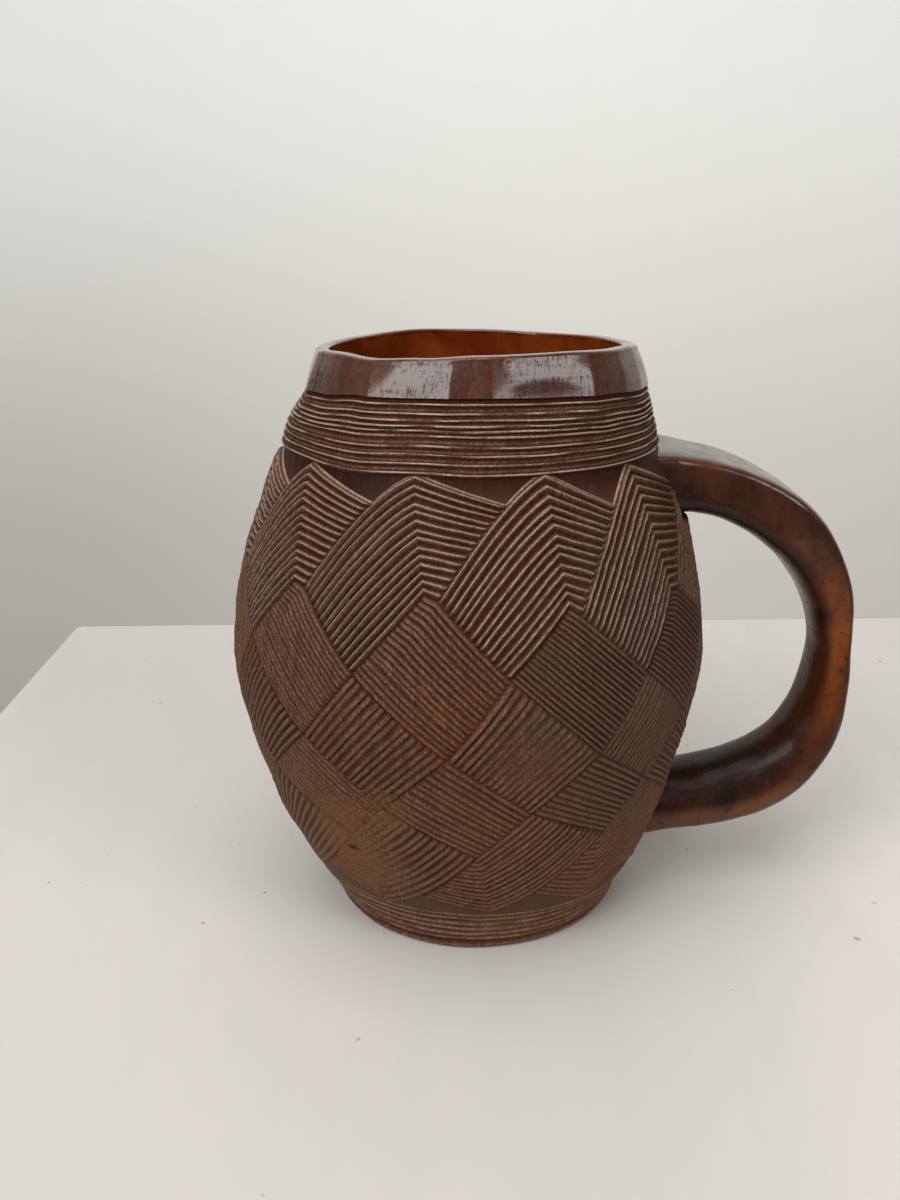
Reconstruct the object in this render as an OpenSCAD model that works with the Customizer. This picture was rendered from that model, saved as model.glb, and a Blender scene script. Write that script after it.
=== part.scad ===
// Carved wooden drinking cup: a barrel-shaped vessel with a ringed foot, a ringed neck, a plain
// collar and a loop handle. The barrel is covered by a carved plait of straps that cross at a slant
// and fold back at both edges. The cup is cut from one block of wood, so its zones meet face to face.
// Millimetres, +Z up, origin at the centre of the resting face, handle towards +X.

/* [Vessel] */
// Height of the ringed foot
foot_h = 12.5; // [11:0.5:15]
// Height of the plaited barrel, between foot and neck
plait_h = 106; // [92:1:122]
// Height of the ringed neck
neck_h = 13; // [10:0.5:16]
// Height of the plain collar, up to the lip
collar_h = 8.5; // [6.5:0.5:13]
// Radius of the flat face that the cup rests on
base_r = 36; // [33:0.5:37]
// Radius of the foot above its rounded edge
foot_r = 38.2; // [37.6:0.1:41]
// Radius of the barrel where the plait starts
plait_low_r = 43.2; // [41:0.1:46]
// Largest radius of the barrel, over the carving
belly_r = 57.8; // [53:0.1:64]
// Height of the widest point above the foot
belly_up = 55.5; // [48:0.5:60]
// Radius of the barrel where the plait ends
plait_top_r = 45.2; // [43:0.1:48]
// Outer radius at the lower edge of the collar
collar_r = 40.6; // [39:0.1:43]
// Outer radius of the lip
lip_r = 37.9; // [36:0.1:39]
// Thickness of the barrel's wall, over the carving
wall = 6.5; // [5:0.5:8]
// Thickness of the lip, which is fully rounded
lip_wall = 3.6; // [3:0.1:4.5]
// Thickness of the floor
floor_t = 8.5; // [6:0.5:9]

/* [Carving] */
// Height of the straps above the ground of the carving
relief = 0.9; // [0.5:0.1:1.5]
// Width of the cut that parts one strap from the next
channel = 0.8; // [0.4:0.1:1.4]
// Repeats of the plait round the barrel
columns = 11; // [9:1:13]
// Ridges on the neck
neck_rings = 10; // [7:1:13]
// Ridges on the foot
foot_rings = 6; // [4:1:9]

/* [Handle] */
// Clear gap for the fingers, from the widest point of the barrel to the handle
finger_gap = 29; // [24:0.5:34]
// Drop from the neck to the middle of the upper root
handle_drop = 10.5; // [9.5:0.5:16]
// Rise from the foot to the middle of the lower root
handle_rise = 10; // [9.5:0.5:16]
// Width of the handle at its upper root
top_w = 28.5; // [22:0.5:32]
// Thickness of the handle at its upper root
top_t = 13.5; // [10:0.5:16]
// Width of the handle at the fingers
grip_w = 20.5; // [16:0.5:26]
// Thickness of the handle at the fingers
grip_t = 9; // [7:0.5:12]
// Width of the handle at its lower root
low_w = 25; // [20:0.5:29]
// Thickness of the handle at its lower root
low_t = 15; // [11:0.5:18]
// How much the handle widens where it grows out of the wall
root_flare = 1; // [0:0.5:3]
// Plain margin left uncarved round the upper root
top_reserve = 1.2; // [0.6:0.1:3]
// Plain margin left uncarved round the lower root
low_reserve = 3.5; // [1:0.5:5]

/* [Hidden] */
$fn = 96;

carved_brown = "#4a2b20";
ground_brown = "#38201a";
polished_brown = "#5a2a18";

// Levels of the stacked zones
neck_z = foot_h + plait_h;
collar_z = neck_z + neck_h;
height = collar_z + collar_h;
belly_z = foot_h + belly_up;

// The barrel's outline is two arcs that share an upright tangent at the belly
function arc_r(drop, rise) = (rise * rise + drop * drop) / (2 * drop);
low_arc = arc_r(belly_r - plait_low_r, belly_up);
top_arc = arc_r(belly_r - plait_top_r, plait_h - belly_up);
function arc_at(z) = z < belly_z ? low_arc : top_arc;
function barrel_r(z, inset = 0) =
    belly_r - arc_at(z) + sqrt(pow(arc_at(z) - inset, 2) - pow(z - belly_z, 2));

// The bore tapers in a straight line from the top of the barrel to the lip
bore_r = barrel_r(neck_z, wall);
mouth_r = lip_r - lip_wall;
function bore_at(z) = bore_r + (mouth_r - bore_r) * (z - neck_z) / (height - neck_z);
dish_r = barrel_r(foot_h, wall);
dish_round = foot_h - floor_t;

// The plait repeats once a column. Its knots are where straps cross or fold, each given as
// [share of a column's width, share of the plait's height]
knot_apex = [0, 0.99];
knot_valley = [0.69, 0.936];
knot_spine = [0.13, 0.755];
knot_tuck = [0.23, 0.755];
knot_high = [-0.30, 0.607];
knot_mid = [0.31, 0.441];
knot_low = [-0.14, 0.313];
knot_keel = [-0.47, 0.205];
knot_toe = [-0.41, 0.01];
knot_heel = [-1.03, 0.06];
pitch = 360 / columns;
first_apex_angle = -73;
function at(knot, column) =
    [first_apex_angle + (column + knot[0]) * pitch, foot_h + knot[1] * plait_h];

// Handle: two curves that meet at the fingers, from the upper root to the lower root
top_z = neck_z - handle_drop;
low_z = foot_h + handle_rise;
grip_z = (top_z + low_z) / 2;
grip_x = belly_r + finger_gap + grip_t / 2;
top_x = barrel_r(top_z, wall);
low_x = barrel_r(low_z, wall);
upper_bow = [0.56, 0.56];
lower_bow = [0.70, 0.83];
flare_reach = 0.3;
handle_rings = 14;
handle_sides = 24;
squareness = [5, 3, 2.4];

module band(z0, z1) {
    translate([0, z0])
        square([2 * belly_r, z1 - z0]);
}

// Half sections of the barrel from the axis outwards, taken in from the carving's top by inset:
// the bowl is below the widest point and the shoulder is above it
module bowl_half(inset) {
    intersection() {
        translate([belly_r - low_arc, belly_z])
            circle(r = low_arc - inset, $fn = 240);
        band(foot_h, belly_z);
    }
}

module shoulder_half(inset) {
    intersection() {
        translate([belly_r - top_arc, belly_z])
            circle(r = top_arc - inset, $fn = 240);
        band(belly_z, neck_z);
    }
}

module barrel_half(inset) {
    bowl_half(inset);
    shoulder_half(inset);
}

// Rounded ridges laid side by side under the line from p to q, and the radius of one of them;
// each is a little fuller than its share, so that it runs into the next
ridge_fullness = 1.04;
function ridge_r(p, q, count) = norm(q - p) / count / 2;
module ridges(p, q, count) {
    r = ridge_r(p, q, count);
    for (i = [0 : count - 1])
        translate(p + (q - p) * (i + 0.5) / count - [r, 0])
            circle(r = r * ridge_fullness, $fn = 24);
}

// Half section of the foot without its hollow: a rounded edge, then ridges out to the barrel
module foot_half() {
    edge = foot_r - base_r;
    p = [foot_r, edge];
    q = [plait_low_r, foot_h];
    r = ridge_r(p, q, foot_rings);
    polygon([[0, 0], [base_r, 0], [base_r, edge], [foot_r - r, edge],
             [plait_low_r - r, foot_h], [0, foot_h]]);
    intersection() {
        translate([base_r, edge])
            circle(r = edge);
        band(0, edge);
    }
    intersection() {
        ridges(p, q, foot_rings);
        band(edge, foot_h);
    }
}

// Half section of the neck without its bore
module neck_half() {
    p = [plait_top_r, neck_z];
    q = [collar_r, collar_z];
    r = ridge_r(p, q, neck_rings);
    polygon([[0, neck_z], [plait_top_r - r, neck_z], [collar_r - r, collar_z], [0, collar_z]]);
    intersection() {
        ridges(p, q, neck_rings);
        band(neck_z, collar_z);
    }
}

module ringed_foot() {
    color(carved_brown)
        rotate_extrude()
            difference() {
                foot_half();
                translate([0, floor_t])
                    square([dish_r - dish_round, dish_round]);
                intersection() {
                    translate([dish_r - dish_round, foot_h])
                        circle(r = dish_round);
                    band(floor_t, foot_h);
                }
            }
}

module bowl_wall() {
    color(ground_brown)
        rotate_extrude()
            difference() {
                bowl_half(relief);
                bowl_half(wall);
            }
}

module shoulder_wall() {
    color(ground_brown)
        rotate_extrude()
            difference() {
                shoulder_half(relief);
                shoulder_half(wall);
            }
}

module ringed_neck() {
    color(carved_brown)
        rotate_extrude()
            difference() {
                neck_half();
                polygon([[0, neck_z], [bore_r, neck_z], [bore_at(collar_z), collar_z], [0, collar_z]]);
            }
}

module rim_collar() {
    lip_z = height - lip_wall / 2;
    color(polished_brown)
        rotate_extrude() {
            polygon([[bore_at(collar_z), collar_z], [collar_r, collar_z],
                     [lip_r, lip_z], [mouth_r, lip_z]]);
            intersection() {
                translate([lip_r - lip_wall / 2, lip_z])
                    circle(r = lip_wall / 2, $fn = 48);
                band(lip_z, height);
            }
        }
}

// A convex outline drawn in by d: each corner goes where its two shifted sides cross
function side_normal(a, b) = [a[1] - b[1], b[0] - a[0]] / norm(b - a);
function shifted_corner(a, b, c, d) =
    let (m = side_normal(a, b), n = side_normal(b, c), turn = m[0] * n[1] - m[1] * n[0])
    b + d * [n[1] - m[1], m[0] - n[0]] / turn;
function drawn_in(outline, d) =
    let (last = len(outline) - 1)
    [for (i = [0 : last])
        shifted_corner(outline[i == 0 ? last : i - 1], outline[i],
                       outline[i == last ? 0 : i + 1], d)];

// One strap's visible piece: the skin of the carving inside the outline given by its corners,
// which run anticlockwise seen from outside
module strap(corners) {
    middle = [for (c = corners) c[0]] * [for (c = corners) 1] / len(corners);
    outline = [for (c = corners) [barrel_r(c[1]) * sin(c[0] - middle), c[1]]];
    rotate([0, 0, middle])
        intersection() {
            rotate_extrude()
                difference() {
                    barrel_half(0);
                    barrel_half(relief);
                }
            rotate([90, 0, 90])
                linear_extrude(height = 2 * belly_r)
                    polygon(drawn_in(outline, channel / 2));
        }
}

// Room that a root of the handle takes up on the wall, from one level to another, with a plain
// margin beside it
module root_room(w, margin, z0, z1) {
    room = w + root_flare + 2 * margin;
    translate([0, -room / 2, z0])
        cube([2 * belly_r, room, z1 - z0]);
}

module carved_round_roots() {
    color(carved_brown)
        difference() {
            children();
            root_room(top_w, top_reserve, top_z - (top_t + root_flare) / 2 - top_reserve, neck_z);
            root_room(low_w, low_reserve, foot_h, low_z + (low_t + root_flare) / 2 + low_reserve);
        }
}

module upper_folds() {
    carved_round_roots()
        for (k = [0 : columns - 1]) {
            strap([at(knot_apex, k), at(knot_valley, k - 1), at(knot_tuck, k - 1), at(knot_high, k),
                   at(knot_spine, k)]);
            strap([at(knot_apex, k), at(knot_spine, k), at(knot_tuck, k), at(knot_valley, k)]);
        }
}

module strap_course_high() {
    carved_round_roots()
        for (k = [0 : columns - 1])
            strap([at(knot_spine, k), at(knot_high, k), at(knot_mid, k), at(knot_high, k + 1),
                   at(knot_tuck, k)]);
}

module strap_course_middle() {
    carved_round_roots()
        for (k = [0 : columns - 1])
            strap([at(knot_high, k), at(knot_mid, k - 1), at(knot_low, k), at(knot_mid, k)]);
}

module strap_course_low() {
    carved_round_roots()
        for (k = [0 : columns - 1])
            strap([at(knot_mid, k), at(knot_low, k), at(knot_keel, k + 1), at(knot_low, k + 1)]);
}

module lower_folds() {
    carved_round_roots()
        for (k = [0 : columns - 1]) {
            strap([at(knot_low, k), at(knot_keel, k), at(knot_toe, k), at(knot_heel, k + 1),
                   at(knot_keel, k + 1)]);
            strap([at(knot_keel, k), at(knot_heel, k), at(knot_toe, k)]);
        }
}

// Handle: a section that is carried along the curve and changes from squared to rounded
function bezier(p, t) =
    pow(1 - t, 3) * p[0] + 3 * t * pow(1 - t, 2) * p[1] + 3 * t * t * (1 - t) * p[2] + pow(t, 3) * p[3];
upper_curve = [[top_x, top_z], [top_x + upper_bow[0] * (grip_x - top_x), top_z],
               [grip_x, grip_z + upper_bow[1] * (top_z - grip_z)], [grip_x, grip_z]];
lower_curve = [[grip_x, grip_z], [grip_x, grip_z - lower_bow[1] * (grip_z - low_z)],
               [low_x + lower_bow[0] * (grip_x - low_x), low_z], [low_x, low_z]];
function along(s) = s < 1 ? bezier(upper_curve, s) : bezier(lower_curve, s - 1);
function heading(s) = let (e = 0.01, d = along(min(s + e, 2)) - along(max(s - e, 0))) d / norm(d);
function blend(three, s) = s < 1 ? three[0] + (three[1] - three[0]) * s
                                 : three[1] + (three[2] - three[1]) * sin(90 * (s - 1));
function flare(s) = root_flare * pow(max(0, 1 - min(s, 2 - s) / flare_reach), 2);
function superellipse(a, n) =
    [sign(cos(a)) * pow(abs(cos(a)), 2 / n), sign(sin(a)) * pow(abs(sin(a)), 2 / n)] / 2;

function handle_ring(s) =
    let (c = along(s), h = heading(s), n = blend(squareness, s),
         size = blend([[top_w, top_t], [grip_w, grip_t], [low_w, low_t]], s) + [flare(s), flare(s)])
    [for (j = [0 : handle_sides - 1])
        let (e = superellipse((j + 0.5) * 360 / handle_sides, n), out = e[1] * size[1])
        [c[0] - h[1] * out, e[0] * size[0], c[1] + h[0] * out]];

module handle_loop() {
    last = 2 * handle_rings;
    n = handle_sides;
    points = [for (i = [0 : last]) each handle_ring(i / handle_rings)];
    sides = [for (i = [0 : last - 1], j = [0 : n - 1])
        let (a = i * n + j, b = i * n + (j + 1) % n)
        each [[a, b, b + n], [a, b + n, a + n]]];
    ends = [[for (j = [n - 1 : -1 : 0]) j], [for (j = [0 : n - 1]) last * n + j]];
    polyhedron(points, concat(sides, ends));
}

module handle() {
    color(polished_brown)
        difference() {
            handle_loop();
            rotate_extrude() {
                foot_half();
                barrel_half(relief);
                neck_half();
            }
        }
}

ringed_foot();
bowl_wall();
shoulder_wall();
lower_folds();
strap_course_low();
strap_course_middle();
strap_course_high();
upper_folds();
ringed_neck();
rim_collar();
handle();
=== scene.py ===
import random
from math import atan2, cos, degrees, hypot, pi, radians, sin, sqrt

import bmesh
import bpy
from mathutils import Matrix, Vector, noise


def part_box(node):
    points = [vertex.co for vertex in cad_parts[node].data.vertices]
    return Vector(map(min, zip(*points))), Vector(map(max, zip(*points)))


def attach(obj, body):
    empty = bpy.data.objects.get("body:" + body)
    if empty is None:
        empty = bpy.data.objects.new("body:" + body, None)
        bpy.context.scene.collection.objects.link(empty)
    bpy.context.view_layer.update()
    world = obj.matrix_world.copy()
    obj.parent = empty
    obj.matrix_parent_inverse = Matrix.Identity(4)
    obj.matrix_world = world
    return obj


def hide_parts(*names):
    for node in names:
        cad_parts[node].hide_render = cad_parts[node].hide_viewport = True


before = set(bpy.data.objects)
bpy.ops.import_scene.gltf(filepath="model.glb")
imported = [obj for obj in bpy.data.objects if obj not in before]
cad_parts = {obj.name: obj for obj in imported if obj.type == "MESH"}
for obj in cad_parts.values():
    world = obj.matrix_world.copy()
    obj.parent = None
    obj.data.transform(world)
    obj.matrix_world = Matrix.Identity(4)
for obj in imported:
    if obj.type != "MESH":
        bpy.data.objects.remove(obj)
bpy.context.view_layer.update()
mm = 0.001
print("frame loaded, nodes:", len(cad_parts))


# Vessel outline, the same as the solids in the frame

cup = {
    "foot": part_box("ringed_foot")[1].z,     # levels of the stacked zones
    "belly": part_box("bowl_wall")[1].z,
    "neck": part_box("ringed_neck")[0].z,
    "collar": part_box("rim_collar")[0].z,
    "lip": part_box("rim_collar")[1].z,
    "baseRadius": 36.0 * mm,
    "footRadius": 38.2 * mm,
    "lowRadius": 43.2 * mm,
    "bellyRadius": 57.8 * mm,
    "topRadius": 45.2 * mm,
    "collarRadius": 40.6 * mm,
    "lipRadius": 37.9 * mm,
    "lipWall": 3.6 * mm,
    "wall": 6.5 * mm,
    "floor": 8.5 * mm,
    "relief": 0.9 * mm,                     # straps above the ground of the carving
    "sunk": 0.35 * mm,                      # how much deeper the knife went between the straps
    "turns": 360,                           # steps round the vessel
}


def arcRadius(drop, rise):
    return (rise * rise + drop * drop) / (2 * drop)


lowArc = arcRadius(cup["bellyRadius"] - cup["lowRadius"], cup["belly"] - cup["foot"])
topArc = arcRadius(cup["bellyRadius"] - cup["topRadius"], cup["neck"] - cup["belly"])


def barrelRadius(z, inset=0.0):
    arc = lowArc if z < cup["belly"] else topArc
    return cup["bellyRadius"] - arc + sqrt((arc - inset) ** 2 - (z - cup["belly"]) ** 2)


def boreRadius(z):
    start = barrelRadius(cup["neck"], cup["wall"])
    end = cup["lipRadius"] - cup["lipWall"]
    return start + (end - start) * (z - cup["neck"]) / (cup["lip"] - cup["neck"])


def smoothStep(low, high, x):
    t = min(max((x - low) / (high - low), 0.0), 1.0)
    return t * t * (3 - 2 * t)


def mix(a, b, t):
    return a + (b - a) * t


def mixPair(a, b, t):
    return (mix(a[0], b[0], t), mix(a[1], b[1], t))


def trace(marks, x):                        # a smooth line through given marks
    last = (marks[0][0] - 1, marks[0][1])
    for mark in marks:
        if x <= mark[0]:
            return mix(last[1], mark[1], smoothStep(last[0], mark[0], x))
        last = mark
    return last[1]


def byEye(marks, angle):                    # the same round the vessel: degrees and mm
    before = (marks[-1][0] - 360, marks[-1][1])
    after = (marks[0][0] + 360, marks[0][1])
    return trace((before, *marks, after), degrees(angle) % 360) * mm


swells = {                                  # how the sides stray from the even outline: level, mm
    "left": ((0, -1.3), (3, -1.3), (7, -0.8), (12, 0.3), (17, -0.2), (23, -0.6), (28, -0.4),
             (36, -1.2), (50, -0.4), (60, 0.5), (68, 0.8), (78, 0.2), (92, -0.4), (104, -1.2),
             (114, -1.0), (124, 0.0)),
    "right": ((0, -0.3), (7, -0.2), (12, 0.9), (17, 0.2), (24, -0.2), (40, -0.5), (50, 0.0),
              (66, 1.0), (78, 0.3), (92, -0.4), (104, 0.0)),
    "front": ((0, 0.7), (4, 0.5), (10, 0.0), (50, 0.0), (66, 0.9), (80, 0.2), (104, -0.6), (120, 0.0)),
}


def swell(angle, z):
    side = "right" if cos(angle) > 0 else "left"
    return mix(trace(swells["front"], z / mm), trace(swells[side], z / mm), cos(angle) ** 2) * mm


def handWobble(angle, z):                   # the vessel is not perfectly round
    p = Vector((cos(angle), sin(angle), z * 14))
    broad = noise.noise(p * 1.1)
    fine = noise.noise(p * 3.7 + Vector((9, 4, 2)))
    return (0.45 * broad + 0.16 * fine) * mm


def lean(z):                                # the axis isn't quite straight
    top = smoothStep(112 * mm, 138 * mm, z)
    low = 1 - smoothStep(8 * mm, 42 * mm, z)
    return (2.1 * top + 1.3 * low - 0.5) * mm


def onVessel(angle, radius, z):
    r = radius + handWobble(angle, z) + swell(angle, z)
    return Vector((r * cos(angle) + lean(z), r * sin(angle), z))


# Shaders

class Wire:                                 # a socket that can be used in sums
    def __init__(self, finish, socket):
        self.finish = finish
        self.socket = socket

    def join(self, operation, first, second):
        return self.finish.node("ShaderNodeMath", {"operation": operation}, {0: first, 1: second})

    def __add__(self, other):
        return self.join("ADD", self, other)

    __radd__ = __add__

    def __sub__(self, other):
        return self.join("SUBTRACT", self, other)

    def __rsub__(self, other):
        return self.join("SUBTRACT", other, self)

    def __mul__(self, other):
        return self.join("MULTIPLY", self, other)

    __rmul__ = __mul__


class Finish:                               # one material and its node tree
    def __init__(self, name):
        self.material = bpy.data.materials.new(name)
        self.material.use_nodes = True
        self.tree = self.material.node_tree
        self.shader = self.tree.nodes["Principled BSDF"]

    def node(self, kind, settings=None, inputs=None, output=0):
        made = self.tree.nodes.new(kind)
        for key, value in (settings or {}).items():
            if key == "stops":
                self.setStops(made.color_ramp, value)
            else:
                setattr(made, key, value)
        for key, value in (inputs or {}).items():
            self.plug(value, made.inputs[key])
        return Wire(self, made.outputs[output])

    def plug(self, value, socket):
        if isinstance(value, Wire):
            self.tree.links.new(value.socket, socket)
        else:
            socket.default_value = value

    def setStops(self, ramp, stops):
        for extra in stops[2:]:
            ramp.elements.new(extra[0])
        for element, (place, colour) in zip(ramp.elements, sorted(stops)):
            element.position = place
            element.color = (*colour, 1)

    def place(self):
        return self.node("ShaderNodeTexCoord", output="Object")

    def attribute(self, name):
        return self.node("ShaderNodeAttribute", {"attribute_name": name}, output="Fac")

    def stretched(self, scale):             # object coordinates stretched along an axis
        return self.node("ShaderNodeMapping", None, {"Vector": self.place(), "Scale": scale})

    def noise(self, vector, scale, detail=3.0, rough=0.55, distortion=0.0):
        return self.node("ShaderNodeTexNoise", None, {
            "Vector": vector, "Scale": scale, "Detail": detail,
            "Roughness": rough, "Distortion": distortion}, "Fac")

    def ramp(self, value, stops):
        return self.node("ShaderNodeValToRGB", {"stops": stops}, {"Fac": value}, "Color")

    def window(self, value, low, high):     # 0 below low, 1 above high
        return self.node("ShaderNodeMapRange", {"interpolation_type": "SMOOTHSTEP"}, {
            "Value": value, "From Min": low, "From Max": high}, "Result")

    def blend(self, factor, a, b):          # from colour a to colour b
        return self.node("ShaderNodeMix", {"data_type": "RGBA"}, {0: factor, 6: a, 7: b}, 2)

    def bump(self, height, strength, distance, normal=None):
        inputs = {"Strength": strength, "Distance": distance, "Height": height}
        if normal:
            inputs["Normal"] = normal
        return self.node("ShaderNodeBump", None, inputs, "Normal")

    def axis(self, name):                   # X, Y or Z of the object coordinates
        return self.node("ShaderNodeSeparateXYZ", None, {"Vector": self.place()}, name)

    def away(self, vector, point):          # distance from a point
        return self.node("ShaderNodeVectorMath", {"operation": "DISTANCE"},
                         {0: vector, 1: point}, "Value")

    def near(self, point, reach):           # 1 at a point of the piece, 0 past its reach
        return 1 - self.window(self.away(self.place(), point), 0.2 * reach, reach)

    def use(self, **sockets):
        for name, value in sockets.items():
            self.plug(value, self.shader.inputs[name.replace("_", " ")])
        return self.material


def rgb(*parts):
    return (*parts, 1.0)


woodTones = {                               # shared by every finish, one block of wood; some tones also paint light and shade
    "groove": rgb(0.017, 0.0055, 0.003),
    "body": rgb(0.066, 0.0165, 0.0042),
    "rust": rgb(0.135, 0.043, 0.0095),
    "clay": rgb(0.160, 0.064, 0.031),
    "ember": rgb(0.10, 0.0150, 0.0016),
    "honey": rgb(0.195, 0.0370, 0.0065),
    "amber": rgb(0.22, 0.072, 0.019),
    "sootAndShade": rgb(0.008, 0.0032, 0.0022),
    "bare": rgb(0.125, 0.028, 0.008),
    "garnet": rgb(0.050, 0.0085, 0.0030),
    "copper": rgb(0.20, 0.050, 0.007),
    "rustCut": rgb(0.082, 0.030, 0.0085),
    "dust": rgb(0.085, 0.041, 0.021),
    "paleScarAndLight": rgb(0.17, 0.105, 0.078),
    "ash": rgb(0.075, 0.043, 0.034),
    "moss": rgb(0.060, 0.042, 0.009),
}

carvedStops = (                             # from the foot of a cut to the crest of a ridge: painted shade in the cuts, painted highlight and wear on the crests
    (0.0, (0.041, 0.0094, 0.0030)),
    (0.25, (0.059, 0.0215, 0.0092)),
    (0.45, (0.084, 0.0405, 0.0225)),
    (0.7, (0.138, 0.0800, 0.0530)),
    (1.0, (0.265, 0.1800, 0.1330)),
)
rubbedSpots = (                             # where hands and shelves wore the ridges: place, reach
    ((-28.2 * mm, -44.8 * mm, 34.6 * mm), 15 * mm),
    ((-23.6 * mm, -43.8 * mm, 26.1 * mm), 15 * mm),
    ((-20.7 * mm, -51.6 * mm, 44.9 * mm), 10 * mm),
)
smoothSpots = (((11.5 * mm, -56.3 * mm, 59.5 * mm), 14 * mm),)
carvedMarks = {                             # place and reach
    "bare": ((-5.2 * mm, -57.6 * mm, 66.5 * mm), 16 * mm),
    "oiled": ((10.0 * mm, -56.5 * mm, 68.0 * mm), 42 * mm),
    "greyed": ((42.0 * mm, -40.0 * mm, 70.0 * mm), 50 * mm),
    # painted light: the crests of the upper folds on the left are lightened
    "paintedLightUpperLeft": ((-21.0 * mm, -45.0 * mm, 101.0 * mm), 30 * mm),
    "green": (((14.0 * mm, -56.0 * mm, 68.0 * mm), 7 * mm),
              ((14.3 * mm, -55.1 * mm, 81.5 * mm), 8 * mm)),
    "chips": (((-7.3 * mm, -57.4 * mm, 69.4 * mm), 2.4 * mm),
              ((-10.3 * mm, -56.7 * mm, 75.8 * mm), 2.4 * mm),
              ((-1.6 * mm, -57.5 * mm, 59.7 * mm), 2.4 * mm)),
    "gouge": (-28.1 * mm, -43.2 * mm, 31.0 * mm),       # an old chip low on the left
    "gougeLies": 2.4,                       # how much wider than high it is
}


def woodGrain(f):                           # upright fibre and broad patches
    fibre = f.noise(f.stretched((1, 1, 0.07)), 620, 4, 0.6, 0.4)
    patches = f.noise(f.place(), 38, 4, 0.6)
    return fibre, patches


def drinkStain(f, tone):                    # warm, stained wood inside the cup
    figure = f.noise(f.stretched((1, 1, 0.8)), 70, 4, 0.6, 0.6)
    warm = f.blend(f.window(figure, 0.3, 0.7), woodTones["ember"], woodTones["honey"])
    return f.blend(f.attribute("inside"), tone, warm)


def carvedFinish(name):
    f = Finish(name)
    fibre, patches = woodGrain(f)
    crest = f.attribute("crest")
    pores = f.noise(f.stretched((1, 1, 0.05)), 2100, 2, 0.5)
    grain = f.window(f.noise(f.stretched((1, 1, 0.7)), 1750, 3, 0.7), 0.37, 0.63)
    blots = f.noise(f.place(), 330, 3, 0.6)
    height = f.window(f.axis("Z"), 0.02, 0.09)
    bare, oiled, greyed, paintedLightUpperLeft = [f.near(*carvedMarks[key]) for key in ("bare", "oiled", "greyed", "paintedLightUpperLeft")]
    worn = sum(f.near(*spot) for spot in rubbedSpots)
    chips = sum(f.near(*spot) for spot in carvedMarks["chips"])
    green = sum(f.near(*spot) for spot in carvedMarks["green"])
    x, y, z = carvedMarks["gouge"]
    lies = carvedMarks["gougeLies"]
    fromGouge = f.away(f.stretched((1, 1, lies)), (x, y, z * lies))

    shade = crest + (grain - 0.5) * 0.32 + (fibre - 0.5) * 0.5
    tone = f.ramp(shade, carvedStops)
    tone = f.blend((1 - height) * f.window(patches, 0.3, 0.7) * 0.4, tone, woodTones["clay"])
    tone = f.blend(f.window(patches, 0.52, 0.75) * f.window(fibre, 0.5, 0.65) * 0.6, tone,
                   woodTones["rust"])
    tone = f.blend(oiled * f.window(blots, 0.35, 0.6) * (1 - f.window(crest, 0.15, 0.55)) * 0.7, tone,
                   woodTones["rustCut"])
    tone = f.blend(bare * f.window(blots, 0.42, 0.58) * (1 - f.window(crest, 0.2, 0.6)) * 0.85, tone,
                   woodTones["bare"])
    tone = f.blend(chips * f.window(grain, 0.1, 0.6) * 0.8, tone, woodTones["clay"])
    tone = f.blend(green * f.window(blots, 0.42, 0.6) * (1 - 0.7 * crest) * 0.7, tone, woodTones["moss"])
    tone = f.blend(f.window(worn, 0.0, 0.8) * f.window(grain + patches, 0.6, 1.3) * 0.7, tone,
                   woodTones["clay"])
    tone = f.blend(greyed * 0.4, tone, woodTones["ash"])
    # painted light on the crests of the upper-left folds
    tone = f.blend(paintedLightUpperLeft * f.window(crest, 0.1, 0.5) * 0.3, tone, woodTones["paleScarAndLight"])
    tone = f.blend(f.window(pores, 0.64, 0.78) * 0.5, tone, woodTones["sootAndShade"])
    tone = f.blend((1 - f.window(fromGouge, 0.0009, 0.0026)) * 0.85, tone, woodTones["groove"])
    tone = drinkStain(f, tone)

    gloss = 0.72 - 0.3 * crest + (grain - 0.5) * 0.2
    relief = f.bump(grain, 0.4, 0.00035)
    relief = f.bump(fibre, 0.2, 0.0006, relief)
    return f.use(Base_Color=tone, Roughness=gloss, Normal=relief, Specular_IOR_Level=0.1,
                 Coat_Weight=f.window(crest, 0.6, 1.0) * 0.6, Coat_Roughness=0.22)


polishedMarks = {
    "grip": ((92 * mm, 0, 58 * mm), 48 * mm),           # rubbed red by hands: place and reach
    # lowArm and upperRoot: painted shade at the handle's roots; lowArm also sets a paler band: place and
    # reach
    "lowArm": ((56 * mm, 0, 24 * mm), 46 * mm),
    "upperRoot": ((58 * mm, 0, 103 * mm), 26 * mm),
    "collar": (130.5 * mm, 132 * mm),                   # levels
    "topFace": (85 * mm, 100 * mm),
    "lowBend": (36 * mm, 66 * mm),
    "dull": (30 * mm, 55 * mm),
    "curl": (7.6 * mm, 0, 139.2 * mm),                  # a small scratched hook under the lip
    "curlOpens": (6.6 * mm, 0, 138.4 * mm),
    "curlFront": ((7.6 * mm, -37 * mm, 139.2 * mm), 20 * mm),
}


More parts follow.
